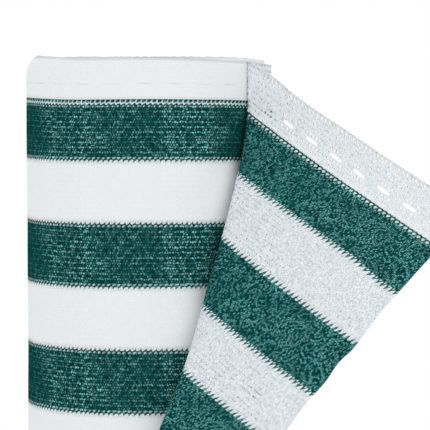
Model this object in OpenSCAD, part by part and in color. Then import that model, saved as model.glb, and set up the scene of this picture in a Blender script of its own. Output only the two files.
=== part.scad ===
// Roll of striped windbreak cloth, stood on its end.
// The cloth is wound on a cardboard tube. Its last lap stands a little off the roll,
// and the top corner of the free end is turned back over itself, so that the hem
// with its row of buttonholes hangs open to the right.
// The roll's axis is Z and the floor is z = 0. Angles round the roll run from the
// front (-Y) towards the right side (+X). Distances down the cloth run from its top edge.

/* [Cloth] */
// Height of one green or white stripe
stripe_w = 49; // [30:0.5:70]
// Number of green stripes, with a white one between each two
green_count = 9; // [5:1:12]
// Height of the white hem along each edge
hem_w = 33.5; // [28:0.5:45]
// Thickness of the cloth
cloth_t = 1; // [0.8:0.1:1.6]

/* [Buttonholes] */
// Distance from one buttonhole to the next
buttonhole_pitch = 24.5; // [20:0.5:40]
// Length of a buttonhole
buttonhole_l = 12; // [8:0.5:16]
// Height of a buttonhole
buttonhole_h = 2; // [1.5:0.1:3]
// Distance of the row of buttonholes from the edge of the cloth
buttonhole_edge = 22; // [18:0.5:25]
// Distance of the first buttonhole from the cut edge
buttonhole_first = 8; // [7.5:0.5:20]

/* [Roll] */
// Radius of the tightly wound roll
roll_r = 96.5; // [80:0.5:120]
// Outer radius of the core tube
core_r = 30; // [20:0.5:40]
// Wall of the core tube
core_wall = 4; // [2:0.5:6]
// How far the core tube stops below the top of the roll
core_recess = 4; // [0:0.5:12]
// Gap between the core tube and the first lap
core_gap = 0.2; // [0.1:0.1:0.5]

/* [Last lap] */
// Gap between the roll and the loose last lap
lap_stand = 5; // [3:0.5:8]
// Gap that is left where the last lap leaves the roll
lap_seat = 0.2; // [0.1:0.05:0.4]
// Angle at which the last lap leaves the roll
lap_start = 120; // [110:1:140]
// How far the top edge of the last lap has slipped below the roll's
lap_drop = 7; // [0:0.5:12]
// Sag of the stripes where the last lap reaches the fold
lap_sag = 5; // [0:0.5:12]
// How far the top edge has risen again where the last lap reaches the fold
lap_lift = 2; // [0:0.5:6]
// Angle of the cut edge at the floor
cut_foot = -24; // [-35:1:-15]

/* [Turned corner] */
// Angle at which the cloth leaves the roll for the fold, at the top edge
fold_top = 54.7; // [50:0.1:62]
// The same angle halfway down the slanting part of the fold
fold_middle = 10.5; // [6:0.5:18]
// The same angle where the fold ends on the cut edge
fold_foot = -36; // [-44:0.5:-30]
// Distance down the cloth from which the fold slants; above it, it runs straight down
fold_straight = 29; // [0:1:33]
// Distance down the cloth to the end of the fold
fold_end = 560; // [500:5:600]
// Distance down the cloth to where the turned corner ends
corner_end = 445; // [400:5:470]
// Radius of the fold at the top edge
fold_r = 4; // [3:0.5:8]
// Growth of the fold's radius for each unit down the cloth
fold_opening = 0.034; // [0.01:0.002:0.04]
// Length of the turned corner along the top edge, seen from above
flap_l = 184; // [120:1:200]
// Slope of the flap's stripes below level at the top edge
flap_slope = 30; // [20:0.5:38]
// Growth of that slope for each unit down the cloth
flap_steepening = 0.002; // [0:0.001:0.02]
// Angle by which the flap comes forward as it leaves the fold
flap_forward = 40; // [25:1:50]
// Radius to which the flap is bowed, seen from above
flap_bow = 620; // [300:5:900]

/* [Hidden] */
GREEN = [0.10, 0.33, 0.32];
WHITE = [0.92, 0.93, 0.94];
CARDBOARD = [0.66, 0.52, 0.37];

bands = 2 * green_count + 1;
cloth_w = 2 * hem_w + (bands - 2) * stripe_w;
lap_r = roll_r + lap_stand + cloth_t / 2;
seat_r = roll_r + lap_seat + cloth_t / 2;
radian = 180 / PI;

// Facets along the last lap, round the fold and along the flap, and down each band
LAP_STEPS = 12;
FOLD_STEPS = 8;
FLAP_STEPS = 6;
BAND_STEPS = 3;
// Shortest piece of fold or flap, where the turned corner runs out
SLIVER = 0.6;
ROUND = 96;

// Bands are counted from the top hem; green bands have odd numbers
function band_name(i) =
    i == 0 ? "top_hem" :
    i == bands - 1 ? "bottom_hem" :
    i % 2 == 1 ? str("green_", (i + 1) / 2) :
    str("white_", i / 2);
function band_colour(i) = i % 2 == 1 ? GREEN : WHITE;
// Distance from the top edge down to the top of band i
function band_top(i) = i == 0 ? 0 : i == bands ? cloth_w : hem_w + (i - 1) * stripe_w;

// Where the cloth leaves the roll for the fold: a curve through three angles
function fold_angle(v) =
    let (t = 2 * max(0, v - fold_straight) / (fold_end - fold_straight))
    fold_top * (1 - t) * (2 - t) / 2 + fold_middle * t * (2 - t) + fold_foot * t * (t - 1) / 2;
// The cut edge below the fold runs straight down to the floor
function cut_angle(v) =
    fold_foot + (cut_foot - fold_foot) * (v - fold_end) / (cloth_w - fold_end);
function leave_angle(v) = v < fold_end ? fold_angle(v) : cut_angle(v);

function fold_radius(v) = fold_r + fold_opening * v;
function slope_angle(v) = flap_slope + flap_steepening * v;
// Turn of the cloth from the roll to its leftmost place, and on to the start of the flap
function side_turn(v) = 90 - leave_angle(v);
function full_turn(v) = side_turn(v) + 90 - flap_forward;
// Length of cloth beyond its leftmost place, seen from above. Past the end of the turned
// corner it is negative: the cut edge comes before that place.
function flap_reach(v) =
    v < corner_end ? flap_l * (1 - v / corner_end) :
    -fold_radius(v) * side_turn(v) / radian * min(1, (v - corner_end) / (fold_end - corner_end));
function loose_length(v) =
    max(2 * SLIVER, fold_radius(v) * side_turn(v) / radian + flap_reach(v));
function fold_turn(v) =
    min(full_turn(v), (loose_length(v) - SLIVER) / fold_radius(v) * radian);
function flap_length(v) = loose_length(v) - fold_radius(v) * fold_turn(v) / radian;
function fold_slope(v) = tan(slope_angle(v)) / (1 - cos(full_turn(v)));

// Height of the cloth on the last lap, at part t of the way to the fold
function lap_z(v, t) =
    (cloth_w - v) * (1 - lap_drop / cloth_w) - lap_sag * sin(180 * sqrt(v / cloth_w)) * t
    + lap_lift * max(0, 1 - v / hem_w) * t;

// A place on the cloth is [x, y, z, nx, ny]: its point, and which way the cloth's outer
// face looks, seen from above.
function lap_place(v, t) =
    let (a = lap_start + (leave_angle(v) - lap_start) * t,
         rise = min(1, (lap_start - a) / (lap_start - 90)),
         r = seat_r + (lap_r - seat_r) * (1 - cos(180 * rise)) / 2)
    [r * sin(a), -r * cos(a), lap_z(v, t), sin(a), -cos(a)];

function fold_place(v, t) =
    let (a = leave_angle(v), turn = fold_turn(v) * t, r = fold_radius(v))
    [(lap_r + r) * sin(a) - r * sin(a + turn),
     -(lap_r + r) * cos(a) + r * cos(a + turn),
     lap_z(v, 1) - r * fold_slope(v) * (turn / radian - sin(turn)),
     sin(a + turn), -cos(a + turn)];

function flap_place(v, t) =
    let (start = fold_place(v, 1),
         heading = leave_angle(v) + fold_turn(v),
         run = flap_length(v) * t,
         bow = run / flap_bow * radian)
    [start[0] + flap_bow * (sin(heading) - sin(heading + bow)),
     start[1] - flap_bow * (cos(heading) - cos(heading + bow)),
     start[2] - run * fold_slope(v) * (1 - cos(fold_turn(v))),
     sin(heading + bow), -cos(heading + bow)];

// Marks at equal steps from 0 to 1
function steps(n, first = 0) = [for (j = [first : n]) j / n];
function row(v, lap_marks, flap_marks) = concat(
    [for (t = lap_marks) lap_place(v, t)],
    [for (t = steps(FOLD_STEPS, 1)) fold_place(v, t)],
    [for (t = flap_marks) flap_place(v, t)]
);

// Lengths along the cloth: the flap, the flap with the fold, and the last lap
function hem_length(v) = flap_length(v) / cos(slope_angle(v));
function turned_length(v) = hem_length(v) + fold_radius(v) * fold_turn(v) / radian;
function lap_length(v) = (lap_start - leave_angle(v)) / radian * lap_r;

// Buttonholes are counted from the cut edge. One that falls on the fold is left closed.
function buttonholes_within(length) =
    1 + floor((length - buttonhole_first - buttonhole_l / 2) / buttonhole_pitch);
flap_buttonholes = buttonholes_within(hem_length(hem_w));
first_on_lap = ceil((turned_length(0) + buttonhole_l / 2 - buttonhole_first) / buttonhole_pitch);
lap_buttonholes =
    buttonholes_within(turned_length(hem_w) + lap_length(hem_w)) - first_on_lap;
// Distances from the cut edge to both ends of the buttonholes, the farthest first
function buttonhole_ends(first, count) = [
    for (k = [first + count - 1 : -1 : first], side = [1, -1])
    buttonhole_first + k * buttonhole_pitch + side * buttonhole_l / 2
];

// Row across the top hem, with a mark at each end of each buttonhole
function hem_row(v) = row(v,
    concat(
        [0],
        [for (d = buttonhole_ends(first_on_lap, lap_buttonholes))
            1 - (d - turned_length(v)) / lap_length(v)],
        [1]),
    concat([for (d = buttonhole_ends(0, flap_buttonholes)) 1 - d / hem_length(v)], [1]));

function offset_point(p, side) =
    [p[0] + side * cloth_t / 2 * p[3], p[1] + side * cloth_t / 2 * p[4], p[2]];

// Closed solid of cloth through rows of places, each row as long as the next. The cells
// [row, place] in the list of openings are left out.
module cloth(rows, openings = []) {
    m = len(rows);
    n = len(rows[0]);
    points = concat(
        [for (row = rows) for (p = row) offset_point(p, 1)],
        [for (row = rows) for (p = row) offset_point(p, -1)]
    );
    back = m * n;
    outer = [for (i = [0 : m - 2]) for (j = [0 : n - 2])
        let (a = i * n + j)
        if (len([for (o = openings) if (o == [i, j]) o]) == 0)
        each [[a, a + 1, a + n + 1], [a, a + n + 1, a + n]]];
    inner = [for (f = outer) [f[2] + back, f[1] + back, f[0] + back]];
    edges = concat(
        [for (j = [0 : n - 2]) [j, j + 1]],
        [for (i = [0 : m - 2]) [i * n + n - 1, (i + 1) * n + n - 1]],
        [for (j = [n - 1 : -1 : 1]) [(m - 1) * n + j, (m - 1) * n + j - 1]],
        [for (i = [m - 1 : -1 : 1]) [i * n, (i - 1) * n]],
        [for (o = openings)
            let (a = o[0] * n + o[1])
            each [[a + 1, a], [a + n + 1, a + 1], [a + n, a + n + 1], [a, a + n]]]
    );
    walls = [for (e = edges)
        each [[e[1], e[0], e[0] + back], [e[1], e[0] + back, e[1] + back]]];
    polyhedron(points, concat(outer, inner, walls));
}

module core_tube() {
    color(CARDBOARD)
    rotate_extrude($fn = ROUND)
    translate([core_r - core_wall, 0])
    square([core_wall, cloth_w - core_recess]);
}

// One band of the wound laps, from the core tube out to the tight face of the roll
module wound_band(i) {
    color(band_colour(i))
    rotate_extrude($fn = ROUND)
    translate([core_r + core_gap, cloth_w - band_top(i + 1)])
    square([roll_r - core_r - core_gap, band_top(i + 1) - band_top(i)]);
}

// The last lap's part of the top hem, with the flap and its open buttonholes
module top_hem_free_end() {
    rows = [for (v = [0, buttonhole_edge - buttonhole_h / 2,
                      buttonhole_edge + buttonhole_h / 2, hem_w]) hem_row(v)];
    flap_start = 2 * lap_buttonholes + 2 + FOLD_STEPS;
    openings = concat(
        [for (k = [0 : lap_buttonholes - 1]) [1, 2 * k + 1]],
        [for (k = [0 : flap_buttonholes - 1]) [1, flap_start + 2 * k]]
    );
    color(WHITE) cloth(rows, openings);
}

// One band of the last lap, with its part of the fold and the turned corner
module free_band(i) {
    top = band_top(i);
    rows = [for (t = steps(BAND_STEPS))
        let (v = top + (band_top(i + 1) - top) * t)
        top < fold_end
            ? row(v, steps(LAP_STEPS), steps(FLAP_STEPS, 1))
            : [for (t = steps(LAP_STEPS)) lap_place(v, t)]];
    color(band_colour(i)) cloth(rows);
}

core_tube();
top_hem_free_end();
for (i = [0 : bands - 1])
    wound_band(i);
for (i = [1 : bands - 1])
    free_band(i);
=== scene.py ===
# Looks of the roll of striped windbreak cloth.
# Lengths are in millimetres and angles in degrees until a mesh is made, which is in metres.
# Angles round the roll run from the front (-Y) towards the right side (+X).
# v is a distance down the cloth from its top edge, and s one along it from the roll's right
# side. u goes along it by its stitches, so that it is the same all down the cut edge.
from math import pi, radians

import bpy
import numpy as np
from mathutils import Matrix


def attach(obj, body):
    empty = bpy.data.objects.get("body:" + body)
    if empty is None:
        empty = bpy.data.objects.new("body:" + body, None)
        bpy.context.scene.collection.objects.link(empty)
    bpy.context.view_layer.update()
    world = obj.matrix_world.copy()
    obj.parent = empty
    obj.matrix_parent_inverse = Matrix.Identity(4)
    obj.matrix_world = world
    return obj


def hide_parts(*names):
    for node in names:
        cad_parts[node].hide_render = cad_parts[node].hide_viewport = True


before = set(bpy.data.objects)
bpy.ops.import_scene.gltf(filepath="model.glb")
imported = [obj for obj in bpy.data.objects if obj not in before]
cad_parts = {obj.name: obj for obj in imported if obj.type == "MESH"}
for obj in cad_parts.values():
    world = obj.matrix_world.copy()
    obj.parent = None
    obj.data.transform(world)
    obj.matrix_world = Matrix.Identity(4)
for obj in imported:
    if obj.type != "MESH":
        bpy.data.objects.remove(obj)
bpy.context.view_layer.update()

# Cloth, as in the CAD part
STRIPE_W = 49
GREEN_COUNT = 9
HEM_W = 33.5
BANDS = 2 * GREEN_COUNT + 1
CLOTH_W = 2 * HEM_W + (BANDS - 2) * STRIPE_W
BUTTONHOLE_PITCH = 24.5
BUTTONHOLE_L = 12
BUTTONHOLE_H = 2
BUTTONHOLE_EDGE = 22
BUTTONHOLE_FIRST = 8

# Roll and last lap, as in the CAD part
CORE_R = 30
CORE_GAP = 0.2
LAP_R = 102
SEAT_R = 97.2
LAP_START = 120
LAP_DROP = 7
LAP_SAG = 5
LAP_LIFT = 2
CUT_FOOT = -24

# Turned corner, as in the CAD part
FOLD_TOP = 54.7
FOLD_MIDDLE = 10.5
FOLD_FOOT = -36
FOLD_STRAIGHT = 29
FOLD_END = 560
CORNER_END = 445
FOLD_R = 4
FOLD_OPENING = 0.034
FLAP_L = 184
FLAP_SLOPE = 30
FLAP_STEEPENING = 0.002
FLAP_FORWARD = 40
FLAP_BOW = 620
SLIVER = 0.6

# Thickness that shows at an edge, how much the roll grows from one lap to the next, and
# the turns of cloth between the core tube and the outermost lap
CLOTH_T = 0.9
LAP_PITCH = 1.4
WOUND_GROWTH = 1.6
LAP_COUNT = 46

# The hem's edge curls over the end of the roll at its left side
CURL_IN = 10.5
CURL_DOWN = 17
CURL_ANGLE = 270
CURL_SPREAD = 60

# At its top the fold is pressed flat and in towards the roll; further down it is slack
PRESS_FROM, PRESS_TO = 15, 75
PRESS_FLAT = 3.3
PRESS_IN = 5
FOLD_SLACK = 1.5

# Unevenness of the loose cloth by v, as bells with a height, a middle and a spread: of the
# last lap, of the cut edge and, for each millimetre outwards, of the flap
LAP_BELLS = ((1.4, 4, 20), (-0.8, 40, 14), (-0.8, 84, 20), (3.0, 96, 44), (-1.3, 192, 28))
CUT_BELLS = ((2.2, 84, 20), (3.0, 115, 38), (3.0, 150, 12))
FLAP_BELLS = ((0.03, 140, 35), (0.014, 38, 14))

# Ripples of the wound cloth and of the flap: height, lengths along and down the cloth over
# which their phase grows by 1, and phase
ROLL_WAVES = ((0.22, 13.1, 61, 0), (0.18, 7.3, -93, 1), (0.15, 140, 17, 0))
FLAP_WAVES = ((0.9, 21, 34, 0), (0.5, 12.5, -45, 2))

# Knit: length of one stitch along the cloth, distance from one chain to the next,
# and pitch of the teeth where two colours meet
STITCH = BUTTONHOLE_PITCH / 12
WALE = STRIPE_W / 12
TOOTH = 2 * STITCH

RADIAN = 180 / pi
LAP_S = (90 - LAP_START) / RADIAN * LAP_R
# Where the stitches begin to spread, so that the cut edge follows one course
EASE_S = -300


def sin(angle):
    return np.sin(np.radians(angle))


def cos(angle):
    return np.cos(np.radians(angle))


def smooth(t):
    t = np.clip(t, 0, 1)
    return t * t * (3 - 2 * t)


def ramp(x, start, end):
    """Runs smoothly from 0 to 1 as x goes from start to end."""
    return smooth((x - start) / (end - start))


def bell(x, middle, spread):
    return np.exp(-(((x - middle) / spread) ** 2))


def bells(x, parts):
    return sum(height * bell(x, middle, spread) for height, middle, spread in parts)


def waves(u, v, parts):
    return sum(height * np.sin(u / along + v / down + phase) for height, along, down, phase in parts)


def band_name(i):
    if i == 0:
        return "top_hem"
    if i == BANDS - 1:
        return "bottom_hem"
    return f"green_{(i + 1) // 2}" if i % 2 else f"white_{i // 2}"


def band_top(i):
    if i == 0:
        return 0
    return CLOTH_W if i == BANDS else HEM_W + (i - 1) * STRIPE_W


# Shape of the free end, by the same rules as the CAD part
def leave_angle(v):
    """Where round the roll the cloth leaves it. Near the top that is up to 2 further
    round than in the CAD part."""
    t = 2 * np.clip(v - FOLD_STRAIGHT, 0, None) / (FOLD_END - FOLD_STRAIGHT)
    fold = FOLD_TOP * (1 - t) * (2 - t) / 2 + FOLD_MIDDLE * t * (2 - t) + FOLD_FOOT * t * (t - 1) / 2
    fold = fold + (bell(v, 40, 70) + 1) * np.clip(1 - v / FOLD_END, 0, 1)
    cut = FOLD_FOOT + (CUT_FOOT - FOLD_FOOT) * (v - FOLD_END) / (CLOTH_W - FOLD_END)
    return np.where(v < FOLD_END, fold, cut)


def pressed(v):
    """Share to which the fold is pressed onto the roll; it is most at the top edge."""
    return 1 - ramp(v, PRESS_FROM, PRESS_TO)


def fold_radius(v):
    return FOLD_R + FOLD_OPENING * v + FOLD_SLACK * ramp(v, 40, 80) - PRESS_FLAT * pressed(v)


def side_turn(v):
    """How far the cloth turns before it points straight to the right."""
    return 90 - leave_angle(v)


def full_turn(v):
    return side_turn(v) + 90 - FLAP_FORWARD


def loose_length(v):
    """Length of cloth beyond the roll, level with v."""
    side = fold_radius(v) * side_turn(v) / RADIAN
    past_corner = np.minimum(1, (v - CORNER_END) / (FOLD_END - CORNER_END))
    reach = np.where(v < CORNER_END, FLAP_L * (1 - v / CORNER_END), -side * past_corner)
    return np.maximum(2 * SLIVER, side + reach)


def fold_turn(v):
    return np.minimum(full_turn(v), (loose_length(v) - SLIVER) / fold_radius(v) * RADIAN)


def slope_angle(v):
    return FLAP_SLOPE + FLAP_STEEPENING * v


def fold_slope(v):
    return np.tan(np.radians(slope_angle(v))) / (1 - cos(full_turn(v)))


def lap_z(v, t):
    """Height of the last lap, a share t of the way from its start to the fold."""
    sag = LAP_SAG * sin(180 * np.sqrt(np.clip(v, 0, None) / CLOTH_W))
    lift = LAP_LIFT * np.clip(1 - v / HEM_W, 0, None) + bells(v, LAP_BELLS)
    dip = 7 * t * (1 - t) * bell(v, 0, 30)
    return (CLOTH_W - v) * (1 - LAP_DROP / CLOTH_W) + (lift - sag) * t - dip


# Distances along the cloth
def leave_s(v):
    return (90 - leave_angle(v)) / RADIAN * LAP_R


def cut_s(v):
    arc = fold_radius(v) * fold_turn(v) / RADIAN
    wave = (2.2 * ramp(v, 130, 190) - 4.7 * ramp(v, 185, 230)) * ramp(v, 400, 310)
    wave = wave + bells(v, CUT_BELLS)
    return leave_s(v) + arc + (loose_length(v) - arc) / cos(slope_angle(v)) - wave


CUT_U = float(cut_s(BUTTONHOLE_EDGE))
# The last lap and the free end together, in whole buttonhole pitches
PITCH_COUNT = 37
START_U = CUT_U - PITCH_COUNT * BUTTONHOLE_PITCH


def along_cloth(u, v):
    """Distance s for stitch distance u."""
    leave = leave_s(v)
    shift = CUT_U - cut_s(v)
    eased = EASE_S + (u - EASE_S) * (leave - EASE_S) / (leave + shift - EASE_S)
    return np.where(u < EASE_S, u, np.where(u < leave + shift, eased, u - shift))


# Unevenness of the wound cloth, by the angle round the roll
def edge_drop(angle):
    """How far the wound cloth stands below its own height."""
    to_last_lap = LAP_DROP * ramp(angle, 265, LAP_START)
    to_right = 2.6 * ramp(angle, 390, 450)
    crest = 0.8 * bell(angle, 362, 26)
    return to_last_lap + to_right - crest


def edge_tuck(angle, v):
    """How far the outermost wound lap's edge stands below the laps behind it."""
    depth = 1.8 * ramp(angle, 290, 340) + 1.8 * ramp(angle, 355, 415)
    return depth * np.clip(1 - v / 24, 0, 1) ** 2


def stripe_rise(angle, v):
    """How far the stripes of the wound cloth stand above their own heights."""
    first_border = 1.1 * bell(v, HEM_W + STRIPE_W, 28)
    below = 0.9 * sin(180 * np.clip((v - 60) / 190, 0, 1))
    left_border = bell(v, HEM_W, 25) * ramp(angle, 330, 280)
    return (first_border + below + left_border) * ramp(angle, 180, 260)


def curl_share(angle):
    return np.clip(1 - ((angle - CURL_ANGLE) / CURL_SPREAD) ** 2, 0, None) ** 2


def roll_place(s, v):
    """Point on the outermost wound lap or on the loose last lap."""
    wound = s < LAP_S
    wound_angle = LAP_START + (LAP_S - s) / (SEAT_R - 1) * RADIAN
    leave = leave_angle(v)
    angle = np.where(wound, wound_angle, np.maximum(leave, 90 - s / LAP_R * RADIAN))
    rise = np.clip((LAP_START - angle) / (LAP_START - 90), 0, 1)
    lap_r = SEAT_R + (LAP_R - SEAT_R) * (1 - cos(180 * rise)) / 2
    lap_r = lap_r - PRESS_IN * pressed(v) * ramp(angle, 110, 60)
    edge = np.clip(1 - v / CURL_DOWN, 0, 1)
    curl = CURL_IN * curl_share(angle) * (1 - np.sqrt(1 - edge**2))
    wound_r = SEAT_R - WOUND_GROWTH * (angle - LAP_START) / 360 - curl
    r = np.where(wound, wound_r, lap_r)
    part = np.clip((LAP_START - angle) / (LAP_START - leave), 0, 1)
    wound_z = (CLOTH_W - v) * (1 - edge_drop(angle) / CLOTH_W) + stripe_rise(angle, v)
    wound_z = wound_z - edge_tuck(angle, v)
    return np.stack([r * sin(angle), -r * cos(angle), np.where(wound, wound_z, lap_z(v, part))], -1)


def free_place(s, v):
    """Point on the fold or on the flap beyond it."""
    start = leave_angle(v)
    r = fold_radius(v)
    whole_turn = fold_turn(v)
    turned = np.clip((s - leave_s(v)) / r * RADIAN, 0, whole_turn)
    run = np.maximum(0, s - leave_s(v) - r * whole_turn / RADIAN) * cos(slope_angle(v))
    heading = start + whole_turn
    bow = run / FLAP_BOW * RADIAN
    centre_r = LAP_R - PRESS_IN * pressed(v) + r
    x = centre_r * sin(start) - r * sin(start + turned) + FLAP_BOW * (sin(heading) - sin(heading + bow))
    y = -centre_r * cos(start) + r * cos(start + turned)
    y = y - FLAP_BOW * (cos(heading) - cos(heading + bow))
    fall = r * (np.radians(turned) - sin(turned)) + run * (1 - cos(whole_turn))
    edge_lift = 2.2 * ramp(run, 0, 20) * ramp(run, 48, 28) * bell(v, 0, 12)
    droop = (4 * ramp(run, 104, 124) - 0.8 * ramp(run, 30, 80)) * bell(v, 84, 20)
    z = lap_z(v, 1) - fall * fold_slope(v) - run * bells(v, FLAP_BELLS) - droop + edge_lift
    return np.stack([x, y, z], -1)


def cloth_place(u, v):
    s = along_cloth(u, v)
    return np.where((s < leave_s(v))[..., None], roll_place(s, v), free_place(s, v))


def cloth_normal(u, v):
    """Direction in which the cloth's outer face looks."""
    step = 0.2
    across = cloth_place(u + step, v) - cloth_place(u - step, v)
    down = cloth_place(u, v + step) - cloth_place(u, np.maximum(v - step, 0))
    normal = np.cross(across, down)
    return normal / np.linalg.norm(normal, axis=-1, keepdims=True)


def ripple(u, v):
    """Slack that is left in the wound cloth and in the flap."""
    roll = waves(u, v, ROLL_WAVES)
    return roll + (waves(u, v, FLAP_WAVES) - roll) * ramp(u, 90, 150)


# Meshes
def closed_cloth(name, points, normals, thickness, chart, materials, kept=None):
    """Closed sheet round a grid of points, rows down the cloth by columns along it.

    Its outer face has the first material and its reverse the second. The chart holds
    the cloth coordinates of the points. Cells that aren't kept are openings.
    """
    rows, columns = points.shape[:2]
    count = rows * columns
    half = np.broadcast_to(thickness, (rows, columns))[..., None] / 2
    index = np.arange(count).reshape(rows, columns)
    a, b, c, d = index[:-1, :-1], index[:-1, 1:], index[1:, 1:], index[1:, :-1]
    if kept is None:
        kept = np.ones(a.shape, bool)
    beside = np.pad(kept, 1)
    outer = np.stack([a, b, c, d], -1)[kept]
    reverse = np.stack([d, c, b, a], -1)[kept] + count
    rims = []
    for neighbour, first, second in (
        (beside[:-2, 1:-1], b, a),
        (beside[2:, 1:-1], d, c),
        (beside[1:-1, :-2], a, d),
        (beside[1:-1, 2:], c, b),
    ):
        rims.append(np.stack([first, second, second + count, first + count], -1)[kept & ~neighbour])
    faces = np.concatenate([outer, reverse, *rims])
    corners = np.concatenate([points + normals * half, points - normals * half]).reshape(-1, 3) / 1000
    mesh = bpy.data.meshes.new(name)
    mesh.from_pydata(corners, [], faces)
    chart_map = mesh.uv_layers.new(name="cloth")
    flat = np.tile(chart.reshape(-1, 2), (2, 1)) / 1000
    chart_map.uv.foreach_set("vector", flat[faces.ravel()].ravel().astype(np.float32))
    for material in materials:
        mesh.materials.append(material)
    slots = np.zeros(len(faces), np.int32)
    slots[len(outer) : len(outer) + len(reverse)] = 1
    mesh.polygons.foreach_set("material_index", slots)
    mesh.shade_smooth()
    mesh.set_sharp_from_angle(angle=radians(50))
    piece = bpy.data.objects.new(name, mesh)
    bpy.context.scene.collection.objects.link(piece)
    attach(piece, "root")
    return piece


# Materials
class Signal:
    """Number that varies over a surface. Arithmetic on it adds nodes to its tree."""

    def __init__(self, nodes, socket):
        self.nodes = nodes
        self.socket = socket

    def math(self, operation, *others):
        return self.nodes.math(operation, self, *others)

    def __add__(self, other):
        return self.math("ADD", other)

    def __sub__(self, other):
        return self.math("SUBTRACT", other)

    def __mul__(self, other):
        return self.math("MULTIPLY", other)

    def __truediv__(self, other):
        return self.math("DIVIDE", other)

    def __rsub__(self, other):
        return self.nodes.math("SUBTRACT", other, self)

    def fraction(self):
        return self.math("FRACT")

    def whole(self):
        return self.math("FLOOR")

    def size(self):
        return self.math("ABSOLUTE")

    def least(self, other):
        return self.math("MINIMUM", other)

    def most(self, other):
        return self.math("MAXIMUM", other)

    def step(self, start, end, low=0.0, high=1.0):
        """Runs smoothly from low to high as this goes from start to end."""
        node = self.nodes.node("ShaderNodeMapRange", interpolation_type="SMOOTHSTEP")
        ends = {"Value": self, "From Min": start, "From Max": end, "To Min": low, "To Max": high}
        for name, value in ends.items():
            self.nodes.put(node.inputs[name], value)
        return Signal(self.nodes, node.outputs["Result"])

    def fade(self, start, end, high=1.0):
        """Runs smoothly from high to 0 as this goes from start to end."""
        return self.step(start, end, high, 0.0)

    def band(self, middle, inner, outer, high=1.0, low=0.0):
        """High up to the inner distance from the middle, and low beyond the outer one."""
        return (self - middle).size().step(inner, outer, high, low)

    def within(self, pitch):
        """How far this is from the middle of the repeat that it lies in."""
        return ((self / pitch).fraction() - 0.5) * pitch


class Nodes:
    """A node tree, and what is built in it."""

    def __init__(self, tree):
        self.tree = tree

    def node(self, kind, **settings):
        node = self.tree.nodes.new(kind)
        for name, value in settings.items():
            setattr(node, name, value)
        return node

    def put(self, socket, value):
        if isinstance(value, Signal):
            value = value.socket
        if isinstance(value, bpy.types.NodeSocket):
            self.tree.links.new(value, socket)
        else:
            socket.default_value = value

    def math(self, operation, *values):
        node = self.node("ShaderNodeMath", operation=operation)
        for socket, value in zip(node.inputs, values):
            self.put(socket, value)
        return Signal(self, node.outputs[0])

    def place(self, x, y, z=0.0):
        node = self.node("ShaderNodeCombineXYZ")
        for socket, value in zip(node.inputs, (x, y, z)):
            self.put(socket, value)
        return node.outputs[0]

    def parts(self, vector):
        node = self.node("ShaderNodeSeparateXYZ")
        self.put(node.inputs[0], vector)
        return [Signal(self, output) for output in node.outputs]

    def object_place(self):
        return self.node("ShaderNodeTexCoord").outputs["Object"]

    def noise(self, where, scale, detail=2.0):
        node = self.node("ShaderNodeTexNoise")
        self.put(node.inputs["Vector"], where)
        node.inputs["Scale"].default_value = scale
        node.inputs["Detail"].default_value = detail
        return Signal(self, node.outputs["Fac"])

    def chance(self, where):
        """A number from 0 to 1 that jumps from one cell to the next."""
        node = self.node("ShaderNodeTexWhiteNoise", noise_dimensions="3D")
        self.put(node.inputs["Vector"], where)
        return Signal(self, node.outputs["Value"])

    def spot(self, a, b):
        """1 in the middle of a round spot and 0 outside it; a and b are 1 at its edge."""
        return (a * a + b * b).fade(0.15, 1.0)

    def mix(self, share, first, second):
        node = self.node("ShaderNodeMix", data_type="RGBA")
        for name, value in (("Factor_Float", share), ("A_Color", first), ("B_Color", second)):
            socket = next(s for s in node.inputs if s.identifier == name)
            self.put(socket, value)
        return next(s for s in node.outputs if s.identifier == "Result_Color")


class Look(Nodes):
    """A material, and the nodes that give it its looks."""

    def __init__(self, name):
        self.material = bpy.data.materials.new(name)
        self.material.use_nodes = True
        super().__init__(self.material.node_tree)
        self.shader = self.tree.nodes["Principled BSDF"]

    def set(self, name, value):
        self.put(self.shader.inputs[name], value)

    def bump(self, height, distance, strength):
        node = self.node("ShaderNodeBump")
        node.inputs["Strength"].default_value = strength
        node.inputs["Distance"].default_value = distance / 1000
        self.put(node.inputs["Height"], height)
        self.set("Normal", node.outputs[0])


def colour(red, green, blue):
    """Screen colour from 0 to 255, as a linear colour."""
    parts = np.array([red, green, blue]) / 255
    linear = np.where(parts < 0.04045, parts / 12.92, ((parts + 0.055) / 1.055) ** 2.4)
    return (*linear, 1)


# Deep, plain and bright colour of each yarn, on the outer face with its chains and on the reverse with
# its inlay. The deep colour serves for painted shade in the openings between the yarns and for darker
# yarn at random; the bright one for painted glints on the outer face's loops and for lighter yarn on
# the reverse
YARNS = {
    "green": {
        "chain": (colour(0, 12, 13), colour(6, 76, 74), colour(140, 206, 202)),
        "inlay": (colour(0, 22, 23), colour(12, 89, 88), colour(116, 190, 188)),
    },
    "white": {
        "chain": (colour(232, 235, 237), colour(237, 240, 242), colour(241, 244, 245)),
        "inlay": (colour(176, 186, 194), colour(237, 243, 247), colour(253, 255, 255)),
    },
}
HEM_REVERSE = colour(243, 248, 251)
# Greyer selvedge of the hem, which also serves as painted shade of the laps' recessed top edge
SELVEDGE_GREY_AND_SHADE = colour(196, 200, 205)
# Painted shade on the hem's outer face beyond the fold
HEM_PAINTED_SHADE = colour(216, 223, 228)
BESIDE_GREEN = colour(140, 160, 162)
TOOTH_COLOUR = colour(222, 243, 240)

# Layers of the noise, and of the chances, so that no two of them repeat each other
DRIFT_LAYER, PATCH_LAYER, GRAIN_LAYER, SWAY_LAYER, BEND_LAYER, OPENING_LAYER = 0, 3, 5, 7, 9, 11
STITCH_LAYER, COLUMN_LAYER, DASH_LAYER, LINK_LAYER, TOOTH_LAYER = 1, 2, 3, 5, 8

# Size of the yarns that are laid in, along and down the cloth
DASH_W = 1.2
DASH_L = 1.8

# Rows of small openings in the hem: along its edge, and beside the buttonholes
PICOT_DOWN = HEM_W - 2.4
PORE_PITCH = 3.2
PORE_BESIDE = 3.6


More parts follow.
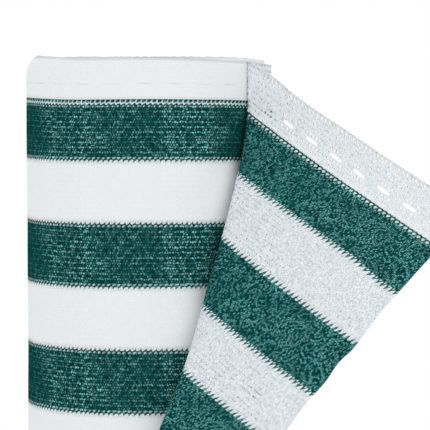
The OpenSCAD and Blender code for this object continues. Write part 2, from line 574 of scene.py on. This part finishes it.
class Knit(Look):
    """Knitted cloth. Its chains run along the stripe on its outer face, with yarns laid in
    across them on its reverse. The border says how its edges meet the other colour."""

    def __init__(self, name, yarn, face, border):
        super().__init__(name)
        chart = self.node("ShaderNodeUVMap", uv_map="cloth").outputs[0]
        self.along, self.down = [part * 1000 for part in self.parts(chart)[:2]]
        self.white = yarn == "white"
        self.outer = face == "chain"
        self.border = border
        self.deep, self.plain, self.bright = YARNS[yarn][face]
        self.other = YARNS["green" if self.white else "white"][face][1]
        self.place_stitches()
        self.place_teeth()

        light, dark = self.chains() if self.outer else self.inlay()
        shade = self.mix(light, self.mix(dark, self.plain, self.deep), self.bright)
        if border == "hem":
            shade, teeth = self.hem(shade), 0.0
        else:
            shade, teeth = self.white_edges(shade) if self.white else self.green_edges(shade)
        self.set("Base Color", shade)
        free = self.along.step(LAP_S - 4, LAP_S)
        self.set("Alpha", 1 - self.openings() * free * (1 - teeth))
        self.set("Roughness", 0.6)
        self.set("Specular IOR Level", 0)
        self.bump(light - dark * 0.5, 0.25, 0.15 if self.white and self.outer else 0.5)

    def cloud(self, layer, scale, stretch=1.0):
        """Noise over the cloth, which is another one in each layer."""
        return self.noise(self.place(self.along * stretch, self.down, layer), scale)

    def place_stitches(self):
        """The yarns aren't quite straight, so their own distances along and down are used."""
        loose = 1.0 if self.outer else 0.35
        self.x = self.along + (self.cloud(SWAY_LAYER, 0.45) - 0.5) * 3 * loose
        y = self.down + (self.cloud(DRIFT_LAYER, 0.11) - 0.5) * 0.8
        self.y = y + (self.cloud(BEND_LAYER, 0.4) - 0.5) * 2.6 * loose
        self.stitch = self.x.within(STITCH)
        self.wale = self.y.within(WALE)
        self.beside_stitch = STITCH / 2 - self.stitch.size()
        self.beside_wale = WALE / 2 - self.wale.size()
        across, up = self.x / STITCH, self.y / WALE
        self.cell = self.chance(self.place(across.whole(), up.whole(), STITCH_LAYER))
        halfway = self.place((across + 0.5).whole(), (up + 0.5).whole(), LINK_LAYER)
        self.half_cell = self.chance(halfway)
        self.patch = self.cloud(PATCH_LAYER, 0.05).step(0.36, 0.64, 0.3 if self.outer else 0.6, 1.0)
        self.grain = self.cloud(GRAIN_LAYER, 1.1, 1.5)

    def painted_sheen(self):
        """Painted sheen of the outer face: it varies in random patches, and on the roll's front it has
        two bands of painted highlight with a painted darker dip between them, and painted shade towards
        the roll's left side and beside the fold.
        """
        # painted highlight: two lighter bands on the roll's front
        bands = self.along.band(-391, 12, 28, 0.25).most(self.along.band(-490, 14, 28, 0.6))
        # painted shade: a darker dip between the two bands
        painted_shine = (self.patch + bands).least(1.0) * self.along.band(-445, 14, 30, 0.65, 1.0)
        # painted shade: darker towards the roll's left side and beside the fold
        return painted_shine * self.along.step(-385, -340, 1.0, 0.25) * self.along.step(-540, -514, 0.3, 1.0)

    def chains(self):
        """Light and dark of the outer face: painted glints on the loops and the links between them,
        painted shade in the pits, and darker yarn at random.
        """
        loop = self.spot(self.stitch / 0.95, self.wale / 1.05) * self.cell.step(0.1, 1.0, 0.15, 1.0)
        link = self.spot(self.beside_stitch / 0.75, self.beside_wale / 0.85)
        # painted shade in the pits between the chains
        pit = self.spot(self.beside_stitch / 0.8, (self.wale.size() - 0.95) / 0.75)
        # painted glints on the loops and links, scaled by the painted sheen
        light = loop.most(link * self.half_cell.step(0.3, 1.0, 0.0, 0.75)) * self.painted_sheen()
        dark = pit * self.half_cell.step(0.0, 0.8, 1.0, 0.35)
        return light, dark.most(self.grain.fade(0.32, 0.52, 0.85))

    def inlay(self):
        """Light and dark of the reverse: slanted columns of short dashes, lighter or darker at random,
        with painted shade in the gaps between the columns.
        """
        slant = (self.x + self.y * 0.2) / DASH_W
        column = slant.whole()
        row = self.y / DASH_L + self.chance(self.place(column, 0.0, COLUMN_LAYER))
        beside, above = slant.fraction() - 0.5, row.fraction() - 0.5
        dash = self.spot(beside / 0.5, above / 0.55)
        number = self.chance(self.place(column, row.whole(), DASH_LAYER))
        light = dash * number.step(0.2, 1.0) * self.patch
        # painted shade in the gaps between the columns
        gap = self.spot(1 - beside.size() * 2, above)
        dark = gap.most(dash * number.fade(0.0, 0.3))
        dark = dark * self.grain.step(0.35, 0.6, 1.0, 0.25 if self.white else 0.5)
        if self.border == "hem":
            self.plain = HEM_REVERSE
            rows = (self.y * 2 / WALE).fraction()
            dark = (dark * 0.65).most(rows.band(0.5, 0.1, 0.3, 0.3))
        return light, dark

    def place_teeth(self):
        """Where two colours meet, they reach into each other with slanted teeth."""
        row = (self.along + self.down * (-0.5 if self.outer else 0.5)) / TOOTH
        self.uneven = self.chance(self.place(row.whole(), 0.0, TOOTH_LAYER)) - 0.5
        self.tooth = (row + (self.cloud(DRIFT_LAYER, 0.5) - 0.5) * 0.3).fraction() - 0.5
        self.from_lobe = self.tooth.size() * TOOTH
        self.from_gap = TOOTH / 2 - self.from_lobe
        self.zigzag = self.tooth.size() * 4 - 1
        self.edge = self.down.least(STRIPE_W - self.down)
        if self.outer:
            self.wave = (self.tooth * self.tooth * 8 - 1) * 1.1 + 0.8 + self.uneven * 0.7
        else:
            self.wave = (self.zigzag * 1.6).least(1.0).most(-1.0) * 1.9 + 0.7 + self.uneven

    def hem(self, shade):
        """The hem has no teeth. It is greyer along its selvedge, partly as painted shade of the laps'
        recessed top edge, and the flap's outside has painted shade.
        """
        if self.outer:
            shade = self.mix(self.down.fade(0.5, 2.5, 0.15), shade, BESIDE_GREEN)
        # greyer selvedge, partly painted shade of the recessed edge of the laps
        selvedge_grey_and_shade = self.down.step(HEM_W - 3, HEM_W - 1, 0.0, 0.6 if self.outer else 0.4)
        shade = self.mix(selvedge_grey_and_shade, shade, SELVEDGE_GREY_AND_SHADE)
        if self.outer:
            # painted shade on the hem's outer face towards and beyond the fold
            painted_shade = self.along.step(-10, 15) * self.grain.step(0.3, 0.7, 0.4, 1.0)
            shade = self.mix(painted_shade, shade, HEM_PAINTED_SHADE)
        return shade

    def white_edges(self, shade):
        teeth = (self.wave - self.edge).step(-0.35, 0.45)
        if self.outer:
            mottle = self.edge.fade(1.5, 4.5) * self.grain.step(0.35, 0.6, 0.5, 0.1)
        else:
            mottle = self.spot(self.from_gap / 0.9, (self.edge - 3.2) / 0.8) * 0.35
        shade = self.mix(mottle, shade, BESIDE_GREEN)
        return self.mix(teeth * 0.95, shade, self.other), teeth

    def green_edges(self, shade):
        bottom = self.down.step(STRIPE_W / 2, STRIPE_W / 2 + 1)
        top = 1 - bottom
        teeth = (self.wave + self.edge).fade(-0.45, 0.35)
        if self.outer:
            blob_place = (self.tooth + 0.2 + top * 0.4 + 0.5).fraction() - 0.5
            blob = self.spot(blob_place * TOOTH / 1.3, (self.edge - 1.6) / 1.2)
            teeth = teeth.most(blob * (self.uneven * 0.5 + 0.6) * 0.75)
        else:
            short = self.spot(self.from_gap / 0.7, (self.edge - 1.2) / 1.2) * bottom
            line = self.edge.band(self.zigzag * -0.6, 0.25, 0.75, 0.7) * top
            teeth = teeth.most(short * 0.8).most(line)
        if self.border == "beside_hem":
            white_rows, dash = self.outer_rows() if self.outer else self.reverse_rows()
            dash = dash * top
            teeth = (teeth * bottom).most(white_rows * top) * (1 - dash)
            shade = self.mix(dash * (self.zigzag * 0.15 + 0.45), shade, self.deep)
        return self.mix(teeth, shade, TOOTH_COLOUR), teeth

    def outer_rows(self):
        """Rows of white stitches and of dark dashes in the green beside the hem."""
        ticks = self.down.band(self.zigzag * 0.8 + 3.5, 0.4, 0.9, 0.9)
        ticks = ticks.most(self.spot(self.from_gap / 1.2, (self.down - 4.0) / 1.2))
        dots = self.spot(self.from_lobe / 0.9, (self.down - 6.0) / 0.9) * 0.5
        ticks = (ticks * (self.cell * 0.3 + 0.7)).most(dots)
        dash = self.down.band(1.4, 0.5, 0.9) * self.from_gap.fade(1.0, 1.5)
        between = self.down.band(1.5, 0.8, 1.3, 0.45) * self.from_lobe.fade(0.3, 0.8)
        return ticks.most(between).most(self.down.fade(0.2, 0.9, 0.9)), dash

    def reverse_rows(self):
        """The same rows as they show on the reverse."""
        ticks = (1.6 - (self.down - 1.5) * 0.55 - self.from_lobe).step(-0.3, 0.3)
        ticks = ticks * self.down.step(1.2, 1.8) * self.down.fade(3.1, 4.5) * (self.cell * 0.25 + 0.75)
        ticks = ticks.most(self.spot(self.from_gap / 0.8, (self.down - 4.6) / 0.9) * 0.35)
        dash = self.down.band(self.zigzag * 0.8 + 1.0, 0.3, 0.8)
        return ticks.most(self.down.step(0.2, 0.7, 0.6, 0.0)), dash

    def openings(self):
        """Small openings between the stitches, which let light through on the free end."""
        size = self.cloud(OPENING_LAYER, 0.03).step(0.45, 0.6, 1.0, 1.6) * (0.5 if self.white else 0.3)
        gap = self.spot(self.beside_stitch / size, self.beside_wale / (size * 1.3))
        gap = gap * self.half_cell.step(0.4, 0.6)
        if self.border == "hem":
            gap = gap.most(self.hem_openings())
        return gap

    def hem_openings(self):
        share = 1.7 if self.outer else 1.5
        wide, high = 0.8 * share, 1.1 * share
        picot = self.spot(self.along.within(TOOTH) / wide, (self.down - PICOT_DOWN) / high)
        from_hole = CUT_U - BUTTONHOLE_FIRST + BUTTONHOLE_PITCH / 2 - self.along
        from_hole = from_hole.within(BUTTONHOLE_PITCH)
        beside_hole = (self.down - (HEM_W - BUTTONHOLE_EDGE)).size() - PORE_BESIDE
        pore = self.spot((from_hole + PORE_PITCH / 2).within(PORE_PITCH) / wide, beside_hole / wide)
        pore = pore * from_hole.size().fade(7.5, 9.0)
        return picot.most(pore) * self.along.step(66, 74) * self.cell.step(0.0, 0.15)


def both_faces(yarn, border):
    ending = "" if border == "both" else f"_{border}"
    return [
        Knit(f"{yarn}_chains{ending}", yarn, "chain", border).material,
        Knit(f"{yarn}_inlay{ending}", yarn, "inlay", border).material,
    ]


LOOKS = {
    "hem": both_faces("white", "hem"),
    "white": both_faces("white", "both"),
    "green": both_faces("green", "both"),
    "beside_hem": both_faces("green", "beside_hem"),
}


def cardboard():
    """Spiral-wound cardboard, with the seam of its outer ply."""
    look = Look("core_cardboard")
    where = look.object_place()
    x, y, z = look.parts(where)
    turn = y.math("ARCTAN2", x) / (2 * pi)
    seam = (z / 0.09 + turn).fraction()
    gap = (seam - 0.5).size().step(0.47, 0.485)
    ply = (z / 0.0011 + look.noise(where, 60.0) * 2).fraction()
    fibre = look.noise(where, 900.0, 4.0)
    shade = look.mix(look.noise(where, 70.0, 3.0), colour(150, 118, 84), colour(178, 146, 108))
    shade = look.mix(fibre.step(0.4, 0.75, 0.0, 0.6), shade, colour(196, 168, 132))
    shade = look.mix(gap * 0.8, shade, colour(92, 68, 46))
    look.set("Base Color", shade)
    look.set("Roughness", 0.85)
    look.set("Specular IOR Level", 0.2)
    look.bump(fibre - gap + ply * 0.2, 0.2, 0.5)
    return look.material


# Strips of cloth, one for each colour band. The mesh has so many steps over a buttonhole and
# between two, is finer so far beyond the fold, and its edge stands back between its loops.
HOLE_STEPS = 6
FOLD_MARGIN = 6
EDGE_LOOP = 0.45


def columns_for(top, bottom):
    """Stitch distances for the mesh, with a mark at both ends of each buttonhole.
    They are closer together over the fold."""
    first = BUTTONHOLE_FIRST - BUTTONHOLE_L / 2
    share = np.arange(HOLE_STEPS) / HOLE_STEPS
    hole = first + share * BUTTONHOLE_L
    between = first + BUTTONHOLE_L + share * (BUTTONHOLE_PITCH - BUTTONHOLE_L)
    one = np.concatenate([hole, between])
    marks = np.concatenate([one + k * BUTTONHOLE_PITCH for k in range(-1, PITCH_COUNT)])
    marks = np.concatenate([[0.0], marks[(marks > 0.5) & (CUT_U - marks > START_U)]])
    marks = CUT_U - marks[::-1]
    if top >= FOLD_END:
        return marks
    ends = np.array([top, min(bottom, FOLD_END)])
    fold_u = leave_s(ends) + CUT_U - cut_s(ends)
    arc = fold_radius(ends) * fold_turn(ends) / RADIAN
    start, end = fold_u.min() - FOLD_MARGIN, (fold_u + arc).max() + FOLD_MARGIN
    near = (marks[:-1] > start) & (marks[:-1] < end)
    steps = [np.linspace(a, b, 4 if close else 2)[:-1] for a, b, close in zip(marks, marks[1:], near)]
    return np.concatenate([*steps, marks[-1:]])


def from_buttonhole(u):
    """Number of the nearest buttonhole, counted from the cut edge, and how far it is."""
    from_first = CUT_U - u - BUTTONHOLE_FIRST
    number = np.round(from_first / BUTTONHOLE_PITCH)
    return number, from_first - number * BUTTONHOLE_PITCH


def buttonhole_cells(u):
    """Which columns of the mesh lie in an open buttonhole. The one on the fold is left
    closed, and the one before it shows only as two dots between its threads."""
    number, offset = from_buttonhole((u[:-1] + u[1:]) / 2)
    fold = from_buttonhole(leave_s(BUTTONHOLE_EDGE))[0]
    inside = np.abs(offset) < BUTTONHOLE_L / 2
    thread = (number == fold - 1) & (np.abs(offset + 0.5) > 1) & (np.abs(offset + 4.1) > 1)
    return inside & (number != fold) & (number >= 0) & ~thread


def buttonhole_gape(u):
    """Half the height of the row of buttonholes: rounded ends, closed up between them.
    They are pulled open on the free end, and all but closed on the roll."""
    lens = np.sqrt(np.clip(1 - (2 * from_buttonhole(u)[1] / BUTTONHOLE_L) ** 2, 0, 1))
    pulled_open = np.where(u > LAP_S, 1.5, 0.06)
    return BUTTONHOLE_H / 2 * (0.5 + 0.5 * lens) * pulled_open


def cloth_strip(i):
    top, bottom = band_top(i), band_top(i + 1)
    u = columns_for(top, bottom)
    loops = EDGE_LOOP * (np.arange(len(u)) % 2)
    kept = None
    if i == 0:
        curl = CURL_DOWN * (1 - sin(np.linspace(90, 0, 8)))
        v = np.concatenate([curl, [19, BUTTONHOLE_EDGE - 1, BUTTONHOLE_EDGE + 1, 25.5, 29.5, HEM_W]])
        hole_row = len(curl) + 1
    else:
        v = np.linspace(top, bottom, 9 if top < FOLD_END else 7)
    grid_u, grid_v = np.meshgrid(u, v)
    if i == 0:
        grid_v[0] += loops
        grid_v[hole_row] = BUTTONHOLE_EDGE - buttonhole_gape(u)
        grid_v[hole_row + 1] = BUTTONHOLE_EDGE + buttonhole_gape(u)
        kept = np.ones((len(v) - 1, len(u) - 1), bool)
        kept[hole_row, buttonhole_cells(u)] = False
    if i == BANDS - 1:
        grid_v[-1] -= loops
    normals = cloth_normal(grid_u, grid_v)
    points = cloth_place(grid_u, grid_v) + normals * ripple(grid_u, grid_v)[..., None]
    mirrored = i in (0, BANDS - 2)
    chart = np.stack([grid_u, bottom - grid_v if mirrored else grid_v - top], -1)
    kind = "green" if i % 2 else "white"
    if i in (0, BANDS - 1):
        kind = "hem"
    if i in (1, BANDS - 2):
        kind = "beside_hem"
    name = band_name(i)
    piece = closed_cloth(f"cloth_{name}", points, normals, CLOTH_T, chart, LOOKS[kind], kept)
    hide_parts(f"{name}_wound", f"{name}_free_end")


# Laps at the two ends of the roll
def end_laps(name, upright):
    """Edge of the hem in all the laps between the core tube and the outermost one.

    Just inside the edge the laps touch, so that no light comes through between them.
    """
    angle = np.arange(0, LAP_COUNT * 360 + 1, 4.0)
    turns = angle / 360
    r = CORE_R + CORE_GAP + LAP_PITCH / 2 + LAP_PITCH * turns
    uneven = 1.3 + 0.7 * np.sin(2.7 * turns) + 0.6 * np.sin(6.1 * turns + 1)
    uneven = uneven - (uneven - 0.3) * ramp(turns, LAP_COUNT - 3, LAP_COUNT - 1)
    depth = uneven + 0.5 * (np.arange(len(angle)) % 2)
    if upright:
        round_roll = angle % 360
        share = curl_share(round_roll)
        curl_r = SEAT_R - CURL_IN * share
        inside = np.clip((r - curl_r) / np.maximum(CURL_IN * share, 0.01), 0, 1)
        curl = CURL_DOWN * (1 - np.sqrt(1 - inside**2)) + 2.5 * share
        drop = edge_drop(round_roll + 360 * (round_roll < LAP_START))
        depth = depth + np.where(share > 0.02, curl, 0) + np.maximum(drop, 0) * turns / LAP_COUNT
    rows = [depth, depth + 1.5, np.full_like(depth, HEM_W - 0.2)]
    thickness = np.array([[0.75], [LAP_PITCH - 0.08], [LAP_PITCH - 0.02]])
    radial = np.stack([sin(angle), -cos(angle), 0 * angle], -1)
    levels = [CLOTH_W - row if upright else row for row in rows]
    points = np.stack([radial * r[:, None] + z[:, None] * [0, 0, 1] for z in levels])
    normals = np.broadcast_to(radial, points.shape)
    length = np.cumsum(np.concatenate([[0], np.diff(angle) / RADIAN * r[1:]]))
    chart = np.stack([np.stack([LAP_S - 20 - length, HEM_W - row], -1) for row in rows])
    if upright:
        points, normals, chart = points[:, ::-1], normals[:, ::-1], chart[:, ::-1]
    piece = closed_cloth(name, points, normals, thickness, chart, LOOKS["hem"])


for band in range(BANDS):
    cloth_strip(band)
end_laps("top_laps", True)
end_laps("bottom_laps", False)

core_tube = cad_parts["core_tube"]
core_tube.data.materials.clear()
core_tube.data.materials.append(cardboard())

# Floor, light and camera, in metres
FLOOR_HALF = 2.4
WORLD_STRENGTH = 0.97
LAMP_SIZE = 2.5
LAMPS = {"right": ((1.89, -2.7, 1.5), 7), "left": ((-1.89, -2.7, 1.5), 5)}
LAMP_TARGET = (0, 0, 0.6)
CAMERA_PLACE = (0.055, -2.121, 0.8938)
CAMERA_DOWN = 3.3
CAMERA_LENS = 219.2


def is_seen_plainly(nodes):
    """1 where the camera sees the surface, directly or in a reflection."""
    path = nodes.node("ShaderNodeLightPath")
    rays = ("Is Camera Ray", "Is Glossy Ray", "Is Transmission Ray")
    camera, glossy, through = [Signal(nodes, path.outputs[ray]) for ray in rays]
    return camera.most(glossy).most(through)


def add_floor():
    look = Look("floor_paper")
    grain = look.noise(look.object_place(), 40.0)
    paper = look.mix(grain, colour(226, 226, 226), colour(231, 231, 231))
    look.set("Base Color", look.mix(is_seen_plainly(look), paper, colour(255, 255, 255)))
    look.set("Roughness", 0.9)
    look.set("Specular IOR Level", 0.1)
    mesh = bpy.data.meshes.new("floor")
    corners = [(x * FLOOR_HALF, y * FLOOR_HALF, 0) for x, y in ((-1, -1), (1, -1), (1, 1), (-1, 1))]
    mesh.from_pydata(corners, [], [(0, 1, 2, 3)])
    mesh.materials.append(look.material)
    floor = bpy.data.objects.new("floor", mesh)
    bpy.context.scene.collection.objects.link(floor)


def add_world():
    world = bpy.data.worlds.new("studio")
    world.use_nodes = True
    bpy.context.scene.world = world
    nodes = Nodes(world.node_tree)
    background = world.node_tree.nodes["Background"]
    background.inputs["Color"].default_value = (1, 1, 1, 1)
    strength = is_seen_plainly(nodes) * (1 - WORLD_STRENGTH) + WORLD_STRENGTH
    nodes.put(background.inputs["Strength"], strength)


def add_lamp(name, place, power):
    light = bpy.data.lights.new(name, "AREA")
    light.shape = "SQUARE"
    light.size = LAMP_SIZE
    light.energy = power
    lamp = bpy.data.objects.new(name, light)
    bpy.context.scene.collection.objects.link(lamp)
    lamp.location = place
    x, y, z = np.array(LAMP_TARGET) - place
    lamp.rotation_euler = (np.arctan2(z, np.hypot(x, y)) + pi / 2, 0, np.arctan2(y, x) - pi / 2)


def add_camera():
    data = bpy.data.cameras.new("camera")
    data.sensor_width = 36
    data.lens = CAMERA_LENS
    camera = bpy.data.objects.new("camera", data)
    bpy.context.scene.collection.objects.link(camera)
    camera.location = CAMERA_PLACE
    camera.rotation_euler = (radians(90 - CAMERA_DOWN), 0, 0)
    bpy.context.scene.camera = camera


add_floor()
add_world()
for lamp_name, (lamp_place, lamp_power) in LAMPS.items():
    add_lamp(lamp_name, lamp_place, lamp_power)
add_camera()
bpy.context.scene.view_settings.view_transform = "Standard"
